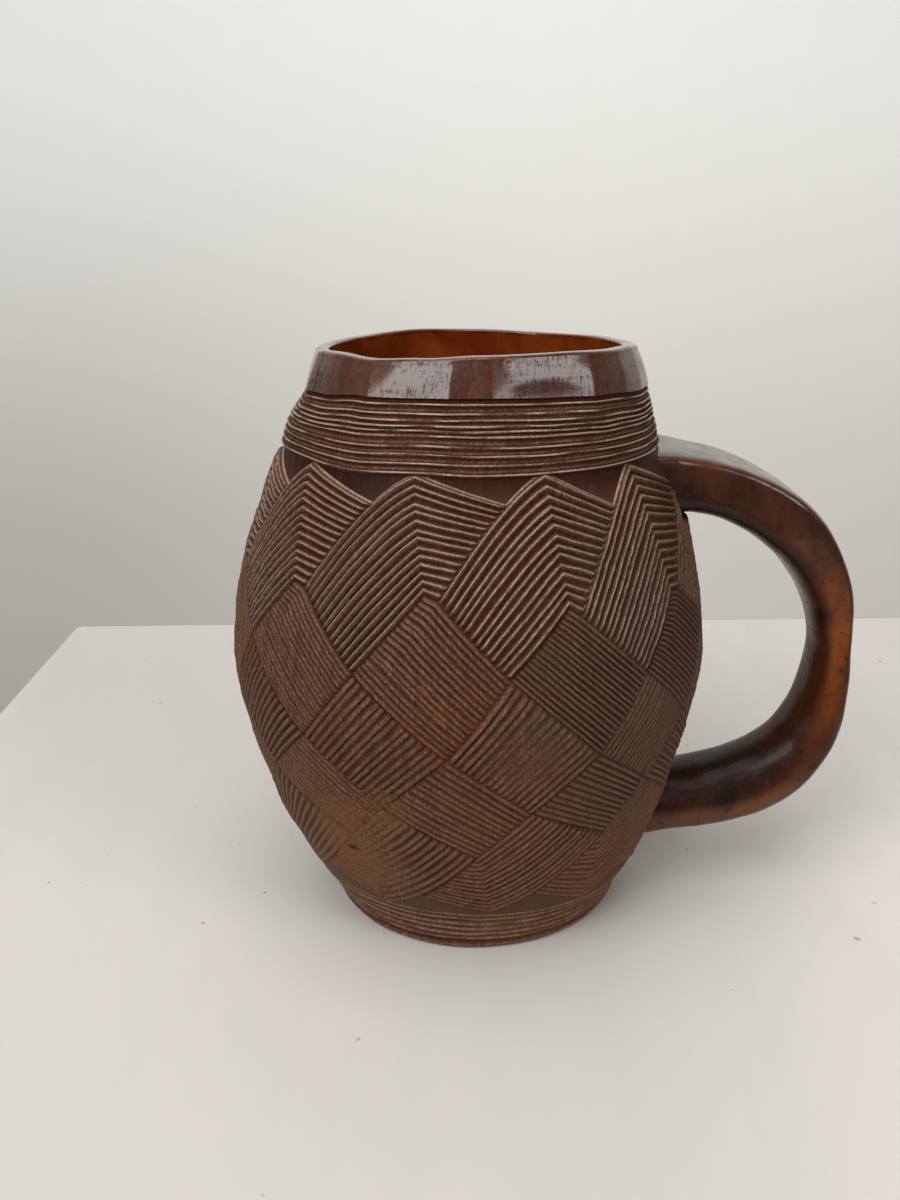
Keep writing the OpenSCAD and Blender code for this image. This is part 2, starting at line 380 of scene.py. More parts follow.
def polishedFinish(name):
    f = Finish(name)
    fibre, patches = woodGrain(f)
    # crest is high on worn outer edges and low on the side facing the cup, where it sets painted shade
    wear = f.attribute("crest")
    hollow = 1 - f.window(wear, 0.0, 0.24)      # painted shade on the side of the handle that faces the cup
    figure = f.noise(f.stretched((1, 1, 0.4)), 60, 3, 0.55, 0.8)
    motes = f.noise(f.place(), 420, 2, 0.6)
    scuffs = f.noise(f.stretched((1, 1, 0.1)), 1900, 3, 0.7)
    strokes = f.noise(f.stretched((0.12, 0.12, 1)), 900, 3, 0.6)
    streaks = f.noise(f.stretched((1, 1, 0.15)), 170, 3, 0.55)
    upper = f.window(f.axis("Z"), *polishedMarks["topFace"])
    onCollar = f.window(f.axis("Z"), *polishedMarks["collar"])
    aboveBend = f.window(f.axis("Z"), *polishedMarks["lowBend"])
    dull = 1 - f.window(f.axis("Z"), *polishedMarks["dull"])
    grip, lowArm, upperRoot = [f.near(*polishedMarks[key]) for key in ("grip", "lowArm", "upperRoot")]
    held = grip * aboveBend * f.window(wear, 0.0, 0.26) * (1 - 0.7 * f.window(wear, 0.4, 0.7))
    # painted shade at the roots, on the lower arm's side that faces the cup
    paintedRootShade = lowArm * (1 - 0.85 * f.window(wear, 0.2, 0.42)) + upperRoot
    facing = f.stretched((1, 0, 1))
    fromCurl = f.away(facing, polishedMarks["curl"])
    hook = f.window(fromCurl, 0.6 * mm, 0.9 * mm) * (1 - f.window(fromCurl, 1.1 * mm, 1.4 * mm))
    hook = hook * f.window(f.away(facing, polishedMarks["curlOpens"]), 0.6 * mm, 1.1 * mm)
    hook = hook * f.near(*polishedMarks["curlFront"])

    tone = f.blend(0.2 + 0.8 * f.window(figure, 0.38, 0.62), woodTones["groove"], woodTones["body"])
    tone = f.blend(f.window(patches, 0.5, 0.8) * 0.4, tone, woodTones["rust"])
    tone = f.blend(onCollar * f.window(scuffs, 0.3, 0.7) * 0.5, tone, woodTones["ash"])
    tone = f.blend(onCollar * f.window(streaks, 0.42, 0.58) * 0.65, tone, woodTones["garnet"])
    tone = f.blend(held * f.window(figure + patches, 0.55, 1.15) * 0.9, tone, woodTones["copper"])
    tone = f.blend(aboveBend * f.window(wear, 0.6, 1.0) * f.window(patches, 0.25, 0.7) * 0.5, tone,
                   woodTones["amber"])
    tone = f.blend(f.window(lowArm, 0.1, 0.7) * f.window(wear, 0.25, 0.5) * 0.55, tone,
                   woodTones["clay"])
    tone = f.blend(f.window(paintedRootShade, 0.0, 0.9) * (0.9 - 0.45 * f.window(figure, 0.3, 0.7)), tone,
                   woodTones["sootAndShade"])
    # painted shade on the side facing the cup
    tone = f.blend(hollow * (0.8 - 0.6 * grip), tone, woodTones["groove"])
    tone = f.blend(f.window(fibre, 0.58, 0.8) * 0.3, tone, woodTones["sootAndShade"])
    tone = f.blend(f.window(motes, 0.56, 0.70) * (1 - onCollar) * 0.55, tone, woodTones["sootAndShade"])
    tone = f.blend(hook * 0.6, tone, woodTones["paleScarAndLight"])
    tone = drinkStain(f, tone)

    gloss = 0.24 + (patches - 0.5) * 0.2 + (scuffs - 0.5) * 0.4 + dull * 0.06
    relief = f.bump(scuffs + strokes * 0.7, 0.35, 0.0003)
    relief = f.bump(figure + motes * 0.35, 0.25, 0.0012, relief)
    relief = f.bump(hook, 0.5, 0.0004, relief)
    sheen = f.window(scuffs + (strokes - 0.5) * 0.6, 0.25, 0.55) * (1 - 0.6 * hollow)
    sheen = sheen * (0.2 + 0.37 * upper + 0.25 * onCollar)
    return f.use(Base_Color=tone, Roughness=gloss, Normal=relief, Specular_IOR_Level=0.12,
                 Coat_Weight=sheen, Coat_Roughness=0.12)


wallMarks = {                               # levels, then place and reach
    "pointsFrom": (96 * mm, 104 * mm),      # the hollows under the neck
    "pointsTo": (108.5 * mm, 116.5 * mm),
    "footing": (17 * mm, 30 * mm),
    "roots": (((52 * mm, -14.5 * mm, 22 * mm), 22 * mm), ((52 * mm, 14.5 * mm, 22 * mm), 22 * mm)),
}


def wallFinish(name):
    f = Finish(name)
    fibre, patches = woodGrain(f)
    level = f.axis("Z")
    points = f.window(level, *wallMarks["pointsFrom"]) * (1 - f.window(level, *wallMarks["pointsTo"]))
    footing = 1 - f.window(level, *wallMarks["footing"])
    root = sum(f.near(*spot) for spot in wallMarks["roots"])

    # dark wood between the straps, darkened further as painted shade of the recesses
    tone = f.blend(f.window(patches, 0.35, 0.7) * 0.3, woodTones["groove"], woodTones["body"])
    tone = f.blend(f.window(fibre, 0.5, 0.7) * 0.15, tone, woodTones["rust"])
    tone = f.blend(points * f.window(patches, 0.2, 0.6) * 0.5, tone, woodTones["clay"])
    tone = f.blend(footing * 0.85, tone, woodTones["dust"])
    tone = f.blend(f.window(root, 0.0, 0.6) * 0.45, tone, woodTones["rust"])
    tone = drinkStain(f, tone)

    gloss = 0.5 + (patches - 0.5) * 0.3
    relief = f.bump(fibre, 0.25, 0.0008)
    return f.use(Base_Color=tone, Roughness=gloss, Normal=relief, Specular_IOR_Level=0.06)


carvedWood = carvedFinish("carvedWood")
polishedWood = polishedFinish("polishedWood")
wallWood = wallFinish("wallWood")
print("finishes ready")


# Mesh helpers

def newBuild():
    bm = bmesh.new()
    bm.verts.layers.float.new("crest")      # 1 on a ridge or a worn edge, 0 in a cut; it sets painted highlight and painted shade
    bm.verts.layers.float.new("inside")     # 1 on the wall that the drink touches
    return bm


def layGrid(bm, columns, rows, place):      # place(i, j) gives a point and its two marks
    crest = bm.verts.layers.float["crest"]
    inside = bm.verts.layers.float["inside"]
    made = bmesh.ops.create_grid(bm, x_segments=columns, y_segments=rows, size=0.5)["verts"]
    for v in made:
        i = round((v.co.x + 0.5) * columns)
        j = round((v.co.y + 0.5) * rows)
        v.co, v[crest], v[inside] = place(i, j)
    return made


def closeUnder(bm, made, skirt, bevel, shade):  # walls down from the rim of a sheet, and a floor
    sheet = set(made)
    rim = [e for e in bm.edges if e.is_boundary and e.verts[0] in sheet]
    walls = bmesh.ops.extrude_edge_only(bm, edges=rim)["geom"]
    crest = bm.verts.layers.float["crest"]
    for v in [g for g in walls if isinstance(g, bmesh.types.BMVert)]:
        angle = atan2(v.co.y, v.co.x - lean(v.co.z))
        z = v.co.z + bevel
        v.co = onVessel(angle, barrelRadius(z) - cup["relief"] - cup["sunk"] - skirt, z)
        v[crest] = shade
    foot = [g for g in walls if isinstance(g, bmesh.types.BMEdge)]
    bmesh.ops.edgeloop_fill(bm, edges=foot)


def finishPiece(name, bm, material, nodes, sharp=48):
    bmesh.ops.remove_doubles(bm, verts=bm.verts, dist=1e-6)
    bmesh.ops.recalc_face_normals(bm, faces=bm.faces)
    mesh = bpy.data.meshes.new(name)
    bm.to_mesh(mesh)
    bm.free()
    mesh.polygons.foreach_set("use_smooth", [True] * len(mesh.polygons))
    mesh.set_sharp_from_angle(angle=radians(sharp))
    mesh.materials.append(material)
    piece = bpy.data.objects.new(name, mesh)
    bpy.context.scene.collection.objects.link(piece)
    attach(piece, "root")
    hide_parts(*nodes)
    print(name, "faces:", len(mesh.polygons))
    return piece


def turnPiece(bm, outline, shift=None):     # outline: radius, level, crest, inside, all round
    turns = cup["turns"]
    count = len(outline)

    def place(i, j):
        angle = 2 * pi * (i % turns) / turns
        radius, z, crest, inside = outline[j % count]
        if shift:
            angle, radius, z, crest = shift(i % turns, angle, radius, z, crest, inside)
        return onVessel(angle, radius, z), crest, inside

    layGrid(bm, turns, count, place)


def line(start, end, steps, crest=0.0, inside=0.0):     # leaves its end to the next stretch
    return [(*mixPair(start, end, k / steps), crest, inside) for k in range(steps)]


def arc(centre, radius, fromAngle, toAngle, steps, crest=0.0, inside=0.0):
    points = []
    for k in range(steps):
        a = radians(mix(fromAngle, toAngle, k / steps))
        points.append((centre[0] + radius * cos(a), centre[1] + radius * sin(a), crest, inside))
    return points


def ridgedLine(start, end, band):           # ridges along a sloping band
    along = Vector(end) - Vector(start)
    out = Vector((along.y, -along.x)).normalized()
    half, height = band["halfWidth"], band["height"]
    points = [(start[0] - height, start[1], 0.0, 0.0)]
    last = None
    for place in band["ridges"]:
        if last and place - last > 3.2 * half:      # floor between two ridges
            p = Vector(start) + along * ((place + last) / 2 - 0.35 * half) - out * height * 0.8
            points.append((p.x, p.y, band["flat"], 0.0))
        for offset, rise in band["shape"]:
            p = Vector(start) + along * (place + offset * half) + out * height * (rise - 1)
            points.append((p.x, p.y, rise, 0.0))
        last = place
    return points


# Age crack, from the lip down the collar and the neck

crack = {"angle": radians(-155), "width": 0.32 * mm, "depth": 0.55 * mm, "sway": radians(1.1), "slant": 1.08}


def crackAngle(z):
    sway = noise.noise(Vector((z * 260, 3.1, 0.4))) + 0.5 * noise.noise(Vector((z * 900, 1.1, 7.4)))
    return crack["angle"] + crack["sway"] * sway - crack["slant"] * (cup["lip"] - z)


def crackShift(i, angle, radius, z, crest, inside):
    turns = cup["turns"]
    middle = round(crack["angle"] / (2 * pi) * turns) % turns
    if inside or abs(i - middle) > 1:
        return angle, radius, z, crest
    angle = crackAngle(z) + (i - middle) * crack["width"] / radius
    if i == middle:
        return angle, radius - crack["depth"], z, 0.0
    return angle, radius, z, crest


# Collar and lip

collar = {
    "bulge": 0.25 * mm,
    "undercut": 0.45 * mm,
    "outerRound": 0.9 * mm,                 # corners of the lip
    "innerRound": 0.6 * mm,
    "lip": ((0, -0.6), (30, -0.75), (60, -0.95), (90, -0.35), (115, 0.1), (140, -0.45), (165, -0.7),
            (190, -0.4), (215, 0.1), (230, -0.3), (250, 0.25), (270, 0.9), (300, 0.95), (330, 0.35)),
    "base": ((0, -0.9), (60, -0.5), (120, -0.4), (180, -0.8), (212, -0.5), (232, 0.65), (270, 1.05),
             (295, 0.45), (315, 0.0), (335, -0.8)),
    "slope": -0.33,
    "facets": (-160, -126, -99, -87, -52, -36, -24, -12, 0, 28, 62, 96, 130, 165, 200),
    "flat": 0.75,                           # how flat the knife's facets are
    "flatAtLip": 0.5,
    "steps": 12,
    # crest marks: high on worn edges, low in the undercut for painted shade
    "wear": {"face": 0.5, "edge": 0.66, "top": 0.55, "under": 0.2},
}


def facetDepth(angle):                      # how far a flat lies inside the round
    turn = (degrees(angle) + 160) % 360 - 160
    for start, end in zip(collar["facets"], collar["facets"][1:]):
        if turn <= end:
            half = radians(end - start) / 2
            off = radians(turn - (start + end) / 2)
            return collar["flat"] * cup["collarRadius"] * (1 - cos(half) / cos(off))


def collarShift(i, angle, radius, z, crest, inside):
    angle, radius, z, crest = crackShift(i, angle, radius, z, crest, inside)
    rise = smoothStep(cup["collar"], cup["lip"], z)
    base = byEye(collar["base"], angle) * (1 - rise) * (1 - inside)
    lift = byEye(collar["lip"], angle) * rise
    radius -= facetDepth(angle) * (1 - inside) * mix(1.0, collar["flatAtLip"], rise)
    return angle, radius + base * collar["slope"], z + lift + base, crest


def makeCollar():
    bm = newBuild()
    low, top = cup["collar"], cup["lip"]
    outer, inner = collar["outerRound"], collar["innerRound"]
    steps, wear = collar["steps"], collar["wear"]
    mouth = cup["lipRadius"] - cup["lipWall"]
    edge = (cup["collarRadius"], low + 0.3 * mm)
    outline = []
    for k in range(steps):
        t = k / steps
        r, z = mixPair(edge, (cup["lipRadius"], top - outer), t)
        outline.append((r + collar["bulge"] * sin(pi * t), z, wear["face"], 0.0))
    outline += arc((cup["lipRadius"] - outer, top - outer), outer, 0, 90, 6, wear["edge"])
    outline += line((cup["lipRadius"] - outer, top), (mouth + inner, top), 3, wear["top"])
    outline += arc((mouth + inner, top - inner), inner, 90, 180, 5, wear["top"], 0.6)
    outline += line((mouth, top - inner), (boreRadius(low), low), 8, 0.0, 1.0)
    outline.append((boreRadius(low), low, 0.0, 1.0))
    outline.append((cup["collarRadius"] - collar["undercut"] * 3, low, 0.0, 0.0))
    outline.append((cup["collarRadius"] - collar["undercut"], low, wear["under"], 0.0))
    turnPiece(bm, outline, collarShift)
    return finishPiece("rimCollar", bm, polishedWood, ["rim_collar"], 40)


# Ringed neck and ringed foot

neck = {
    "ridges": (0.045, 0.171, 0.283, 0.395, 0.53, 0.596, 0.66, 0.737, 0.82, 0.94),
    "halfWidth": 0.023,
    # place along the ring and rise; the rise is also the painted shade, darkest just below each ring
    "shape": ((-1.7, 0.0), (-0.9, 0.1), (-0.5, 0.95), (0.0, 1.0), (0.4, 0.95), (0.7, 0.3), (1.0, 0.0)),
    "height": 0.75 * mm,
    "sway": 0.22 * mm,
    "flat": 0.56,                           # shade of the floor between the ridges
    "contrast": 1.0,
    "slope": -0.35,                         # radius against height
    "lowEdge": ((0, -1.2), (90, -0.8), (180, -0.5), (213, -0.4), (235, -1.3), (255, -0.7),
                (272, -1.2), (325, -1.5)),
    "topEdge": collar["base"],
}
foot = {
    "ridges": (0.12, 0.28, 0.45, 0.62, 0.79, 0.945),
    "halfWidth": 0.057,
    "shape": neck["shape"],
    "height": 0.45 * mm,
    "inset": 0.5 * mm,
    "sway": 0.25 * mm,
    "flat": 0.1,
    "contrast": 0.52,
    "slope": 0.48,
    "lowEdge": ((0, 0.0), (180, 0.0)),
    "topEdge": ((0, -1.0), (90, 0.0), (180, 0.8), (230, 1.2), (258, 0.9), (271, 0.2),
                (297, -0.5), (316, -1.3)),
}
midShade = 0.45                             # shade of wood that is neither cut nor rubbed


def ringShift(band, low, high):             # rings are cut by eye, so they wander
    def shift(i, angle, radius, z, crest, inside):
        if inside:
            return angle, radius, z, crest
        up = (z - low) / (high - low)
        hold = smoothStep(0, 0.1, up) * (1 - smoothStep(0.9, 1, up))
        p = Vector((cos(angle) * 2.1, sin(angle) * 2.1, z * 420))
        sway = band["sway"] * (noise.noise(p) + 0.5 * noise.noise(p * 2.6)) * hold
        sway += mix(byEye(band["lowEdge"], angle), byEye(band["topEdge"], angle), up)
        chip = smoothStep(-0.1, 0.6, noise.noise(p * 2.7 + Vector((5, 5, 5))))
        radius += sway * band["slope"] - band["height"] * 0.5 * crest * chip
        shade = mix(midShade, crest * (1 - 0.45 * chip), band["contrast"])
        return angle, radius, z + sway, shade
    return shift


def makeNeck():
    bm = newBuild()
    low, top = cup["neck"], cup["collar"]
    outline = ridgedLine((cup["topRadius"], low), (cup["collarRadius"], top), neck)
    outline.append((cup["collarRadius"] - neck["height"], top, 0.0, 0.0))
    outline += line((boreRadius(top), top), (boreRadius(low), low), 6, 0.0, 1.0)
    outline.append((boreRadius(low), low, 0.0, 1.0))
    rings = ringShift(neck, low, top)

    def shift(i, angle, radius, z, crest, inside):
        angle, radius, z, crest = crackShift(i, angle, radius, z, crest, inside)
        radius -= facetDepth(angle) * (1 - inside) * smoothStep(mix(low, top, 0.4), top, z)
        return rings(i, angle, radius, z, crest, inside)

    turnPiece(bm, outline, shift)
    return finishPiece("ringedNeck", bm, carvedWood, ["ringed_neck"], 60)


def makeFoot():
    bm = newBuild()
    top = cup["foot"]
    edge = cup["footRadius"] - cup["baseRadius"]
    dish = barrelRadius(top, cup["wall"])
    hollow = top - cup["floor"]
    outline = line((0.0, 0.0), (cup["baseRadius"], 0.0), 6, 0.4)
    outline += arc((cup["baseRadius"], edge), edge, -90, -10, 8, 0.6)
    outline += ridgedLine((cup["footRadius"], edge), (cup["lowRadius"] - foot["inset"], top), foot)
    outline.append((cup["lowRadius"] - cup["relief"], top, 0.0, 0.0))
    outline += arc((dish - hollow, top), hollow, 0, -90, 10, 0.0, 1.0)
    outline += line((dish - hollow, cup["floor"]), (0.0, cup["floor"]), 6, 0.0, 1.0)
    outline.append((0.0, cup["floor"], 0.0, 1.0))
    outline.append((0.0, cup["floor"] / 2, 0.0, 1.0))
    rings = ringShift(foot, edge, top)

    def shift(i, angle, radius, z, crest, inside):
        if z <= edge:
            return angle, radius, z, crest
        return rings(i, angle, radius, z, crest, inside)

    turnPiece(bm, outline, shift)
    return finishPiece("ringedFoot", bm, carvedWood, ["ringed_foot"], 60)


# Wall of the barrel, seen inside the cup and between the straps

wall = {"steps": 28, "under": 1.8 * mm, "footRelief": 0.55 * mm, "footReach": 14 * mm}


def groundRadius(z):                        # shallow above the foot
    full = smoothStep(cup["foot"], cup["foot"] + wall["footReach"], z)
    return barrelRadius(z) - mix(wall["footRelief"], cup["relief"] + cup["sunk"], full)


def makeWall(name, node, low, high):
    bm = newBuild()
    steps = wall["steps"]
    outline = []
    for k in range(steps + 1):              # the outside runs on behind the foot or the neck
        z = mix(low - wall["under"], high + wall["under"], k / steps)
        outline.append((groundRadius(z), z, 0.0, 0.0))
    for k in range(steps + 1):
        z = mix(high, low, k / steps)
        outline.append((barrelRadius(z, cup["wall"]), z, 0.0, 1.0))
    turnPiece(bm, outline)
    return finishPiece(name, bm, wallWood, [node], 60)


makeCollar()
makeNeck()
makeFoot()
makeWall("bowlWall", "bowl_wall", cup["foot"], cup["belly"])
makeWall("shoulderWall", "shoulder_wall", cup["belly"], cup["neck"])
print("vessel ready")


# Handle

handle = {
    "topLevel": cup["neck"] - 10.7 * mm,
    "lowLevel": cup["foot"] + 9.4 * mm,
    "grip": (91.1 * mm, 64.2 * mm),
    "width": (29.5 * mm, 20.2 * mm, 25.6 * mm),     # upper root, fingers, lower root
    "thick": (13.9 * mm, 9.1 * mm, 16.3 * mm),
    "outerCorner": (8.0, 3.6, 2.5),         # squareness of the outer and inner face
    "innerCorner": (4.0, 2.8, 2.3),
    "taper": (0.1, 0.3, 0.28),              # how much narrower the inner face is
    "heft": 0.3,                            # more wood inside the lower bend
    "upperBow": (0.54, 0.56),
    "lowerBow": (0.70, 0.82),
    "inset": 3.2 * mm,
    "flare": 2.0 * mm,
    "flareReach": 0.16,
    "rings": 120,
    "sides": 72,
    "sunk": 1.6 * mm,
    "plainTop": (0.8 * mm, 1.6 * mm),       # margins left uncarved at the roots
    "plainLow": (3.4 * mm, 7.0 * mm),
    "tuckedIn": 2 * mm,
    "besideHandleShade": 0.68,                    # painted shade on the wall inside the handle
    "besideHandleSides": (radians(46), radians(22)),
    "besideHandleLevels": (66 * mm, 84 * mm),
}


def bezier(p, t):
    return [(1 - t) ** 3 * a + 3 * t * (1 - t) ** 2 * b + 3 * t * t * (1 - t) * c + t ** 3 * d
            for a, b, c, d in zip(*p)]


def handlePath():
    top, low = handle["topLevel"], handle["lowLevel"]
    gripX, grip = handle["grip"]
    topX = barrelRadius(top, handle["inset"])
    lowX = barrelRadius(low, handle["inset"])
    upper, lower = handle["upperBow"], handle["lowerBow"]
    first = [(topX, top), (mix(topX, gripX, upper[0]), top),
             (gripX, mix(grip, top, upper[1])), (gripX, grip)]
    second = [(gripX, grip), (gripX, mix(grip, low, lower[1])),
              (mix(lowX, gripX, lower[0]), low), (lowX, low)]

    def along(s):
        return Vector(bezier(first, s) if s < 1 else bezier(second, s - 1))

    return along


def threeWay(values, s):                    # stays broad over the bend, then narrows to the grip
    if s < 1:
        return mix(values[0], values[1], smoothStep(0.4, 1.0, s))
    return mix(values[1], values[2], sin(pi / 2 * (s - 1)))


def corner(x, power):
    return (1 if x >= 0 else -1) * abs(x) ** (2 / power)


def makeHandle():
    bm = newBuild()
    along = handlePath()
    rings, sides = handle["rings"], handle["sides"]

    def place(i, j):
        s = 2 * i / rings
        a = 2 * pi * ((j % sides) + 0.5) / sides
        middle = along(s)
        ahead = (along(min(s + 0.01, 2)) - along(max(s - 0.01, 0))).normalized()
        out = Vector((-ahead.y, ahead.x))
        flare = handle["flare"] * max(0, 1 - min(s, 2 - s) / handle["flareReach"]) ** 3
        width = threeWay(handle["width"], s) + flare
        thick = threeWay(handle["thick"], s) + flare
        power = threeWay(handle["outerCorner" if sin(a) > 0 else "innerCorner"], s)
        side = corner(sin(a), power)
        narrow = 1 - threeWay(handle["taper"], s) * (0.5 - 0.5 * side)
        across = corner(cos(a), power) * narrow * width / 2
        up = side * thick / 2
        if s > 1 and side < 0:
            up *= 1 + handle["heft"] * sin(pi * (s - 1)) ** 2
        p = Vector((middle.x + out.x * up, across, middle.y + out.y * up))
        whittle = noise.noise(p * 55) * 0.45 + noise.noise(p * 170) * 0.16
        p += Vector((out.x * corner(sin(a), 2), cos(a), out.y * corner(sin(a), 2))) * whittle * mm
        if i in (0, rings):                 # ends sit just under the wall's surface
            deep = barrelRadius(p.z) - cup["relief"] - handle["sunk"]
            p.x = sqrt(deep ** 2 - p.y ** 2)
        edge = abs(corner(cos(a), 3) * corner(max(sin(a), 0), 3))
        # crest: low on the side facing the cup for painted shade, high on the worn outer edges
        return p, 0.5 * smoothStep(-0.8, 0.6, side) + 0.5 * smoothStep(0.35, 0.85, edge), 0.0

    made = layGrid(bm, rings, sides, place)
    bmesh.ops.remove_doubles(bm, verts=made, dist=1e-6)
    bmesh.ops.holes_fill(bm, edges=[e for e in bm.edges if e.is_boundary], sides=0)
    return finishPiece("loopHandle", bm, polishedWood, ["handle"], 35)


makeHandle()
print("handle ready")


# Plait: straps between knots that repeat round the barrel

plait = {
    "columns": 11,
    "firstApex": -73.0,                     # degrees
    "slip": (1.2, 0.9 * mm),                # how far a knot strays, degrees and height
    "knots": {                              # share of a column, share of the plait's height
        "apex": (0.0, 0.99),
        "spine": (0.13, 0.755),
        "tuck": (0.23, 0.755),
        "high": (-0.30, 0.607),
        "mid": (0.31, 0.441),
        "low": (-0.14, 0.313),
        "keel": (-0.47, 0.205),
        "toe": (-0.41, 0.01),
    },
    "valley": 0.60,                         # where a short limb meets the next long limb's edge
    "heel": 0.40,
    "upperBow": 4.0 * mm,                   # rise of a long limb's outer edge above its chord
    "lowerBow": -2.6 * mm,
    "end": 0.7 * mm,                        # length over which a ridge runs out
    "skirt": 0.8 * mm,
    "bury": 0.25 * mm,                      # how far a strap lies under plain wood
    "shallow": 0.45,                        # depth of the cuts next to the foot
}

knotStrays = {                              # knots of the side that is seen, by column: degrees, mm
    "apex": {-2: (-2.1, 0.2), -1: (0.6, 0.6), 0: (2.5, 0.4), 1: (-0.7, -0.5)},
    "spine": {-2: (-1.0, 1.1), -1: (1.0, 2.4), 0: (0.4, -1.5), 1: (-0.4, -3.8)},
    "tuck": {-2: (-0.7, 0.3), -1: (0.8, 1.1), 0: (0.0, -3.5), 1: (-0.4, -4.2)},
    "high": {-2: (-1.7, 1.7), -1: (-0.7, 0.3), 0: (0.7, 0.6), 1: (1.7, -3.1)},
    "mid": {-2: (-1.6, 1.0), -1: (0.0, 0.4), 0: (1.7, -1.8)},
    "low": {-2: (-2.0, 1.8), -1: (-0.7, -0.4), 0: (1.1, -0.8), 1: (1.1, 0.0)},
    "keel": {-1: (-0.2, 1.1), 0: (-0.8, -1.2), 1: (0.7, 0.0)},
    "toe": {-1: (1.8, 0.2), 0: (0.2, 0.1), 1: (-1.3, -1.4)},
}

steepRidge = (                              # place across the ridge, height, painted shade and highlight; the same for roundRidge
    (0.0, 0.0, 0.04), (0.11, 0.3, 0.15), (0.21, 0.95, 0.82), (0.31, 1.0, 0.97),
    (0.45, 0.8, 0.58), (0.66, 0.45, 0.45), (0.86, 0.1, 0.1),
)
roundRidge = (
    (0.0, 0.0, 0.0), (0.12, 0.15, 0.1), (0.24, 0.8, 0.45), (0.38, 1.0, 0.68),
    (0.62, 1.0, 0.68), (0.76, 0.8, 0.45), (0.88, 0.15, 0.1),
)


def knot(name, column):
    share, level = plait["knots"][name]
    count = plait["columns"]
    angle = plait["firstApex"] + (column + share) * 360 / count
    z = mix(cup["foot"], cup["neck"], level)
    home = (column + 4) % count - 4         # columns are counted both ways from the first apex
    if home in knotStrays[name]:
        turn, rise = knotStrays[name][home]
        return radians(angle + turn), z + rise * mm
    hand = random.Random(f"{name} {home}")
    angle += hand.uniform(-1, 1) * plait["slip"][0]
    if name == "toe":
        z += byEye(foot["topEdge"], radians(angle))
    elif name != "apex":
        z += hand.uniform(-1, 1) * plait["slip"][1]
    return radians(angle), z


def chord(start, end, t, bow):
    angle, z = mixPair(start, end, t)
    return angle, z + bow * 4 * t * (1 - t)


def limbTop(k, t):                          # outer edge of an upper long limb, from tuck to apex
    return chord(knot("tuck", k - 1), knot("apex", k), t, plait["upperBow"])


def limbLow(k, t):                          # outer edge of a lower long limb, from toe to keel
    return chord(knot("toe", k), knot("keel", k + 1), t, plait["lowerBow"])


def between(start, end):
    return lambda v: mixPair(start, end, v)


def noBow(v):
    return 0.0


def upperFold(k):
    left = between(knot("tuck", k - 1), knot("high", k))
    spine = between(knot("apex", k), knot("spine", k))

    def right(v):
        return limbTop(k + 1, plait["valley"] * (1 - v))

    def bow(v):
        return plait["upperBow"] * (1 - v)

    return (left, spine, right), (bow, noBow), (26, 18)


def highStrap(k):
    left = between(knot("spine", k), knot("high", k))
    turn = between(knot("tuck", k), mixPair(knot("high", k), knot("mid", k), 0.17))
    right = between(knot("high", k + 1), knot("mid", k))
    return (left, turn, right), (noBow, noBow), (6, 24)


def middleStrap(k):
    left = between(knot("mid", k - 1), knot("low", k))
    right = between(knot("high", k), knot("mid", k))
    return (left, right), (noBow,), (28,)


def lowStrap(k):
    left = between(knot("mid", k), knot("low", k))
    right = between(knot("low", k + 1), knot("keel", k + 1))
    return (left, right), (noBow,), (28,)


def lowerFold(k):
    spine = between(knot("keel", k), knot("toe", k))
    right = between(knot("low", k), knot("keel", k + 1))

    def left(v):
        return limbLow(k - 1, mix(1, plait["heel"], v))

    def bow(v):
        return plait["lowerBow"] * v

    return (left, spine, right), (noBow, bow), (18, 26)


def plainNearRoots(angle, z):               # 0 where the wood is left plain, 1 where it is carved
    if cos(angle) < 0:
        return 1.0
    y = abs(barrelRadius(z) * sin(angle))
    under = handle["topLevel"] - handle["thick"][0] / 2 - z
    over = z - handle["lowLevel"] - handle["thick"][2] / 2
    topRoom = hypot(max(y - handle["width"][0] / 2, 0), max(under, 0))
    inset = handle["tuckedIn"]
    lowRoom = hypot(max(y - handle["width"][2] / 2 + inset, 0), max(over + inset, 0))
    return smoothStep(*handle["plainTop"], topRoom) * smoothStep(*handle["plainLow"], lowRoom)


# painted shade: the carving beside the handle is darkened
def shadeBesideHandle(angle, z):
    far, close = [cos(side) for side in handle["besideHandleSides"]]
    reach = smoothStep(far, close, cos(angle)) * smoothStep(*handle["besideHandleLevels"], z)
    return mix(1.0, handle["besideHandleShade"], reach)


def rubbed(p):
    spots = rubbedSpots + smoothSpots
    return max(1 - smoothStep(0.2 * reach, reach, (p - Vector(spot)).length) for spot, reach in spots)


knife = {                                   # how evenly the ridges were cut, and what wore them
    "spacing": 0.13,
    "lowest": 0.8,
    "sway": 0.12,
    "nicks": (0.16, 0.1),
    "nickRise": 0.12 * mm,
    "endHeight": 0.55,                      # where a ridge runs out
    "endShade": 0.35,
    "tired": 0.5,                           # share that full wear takes off a ridge
    "rubbed": 1.6,
    "edgeShade": 0.95,                      # pale edge above the hollows: wear and painted highlight
}


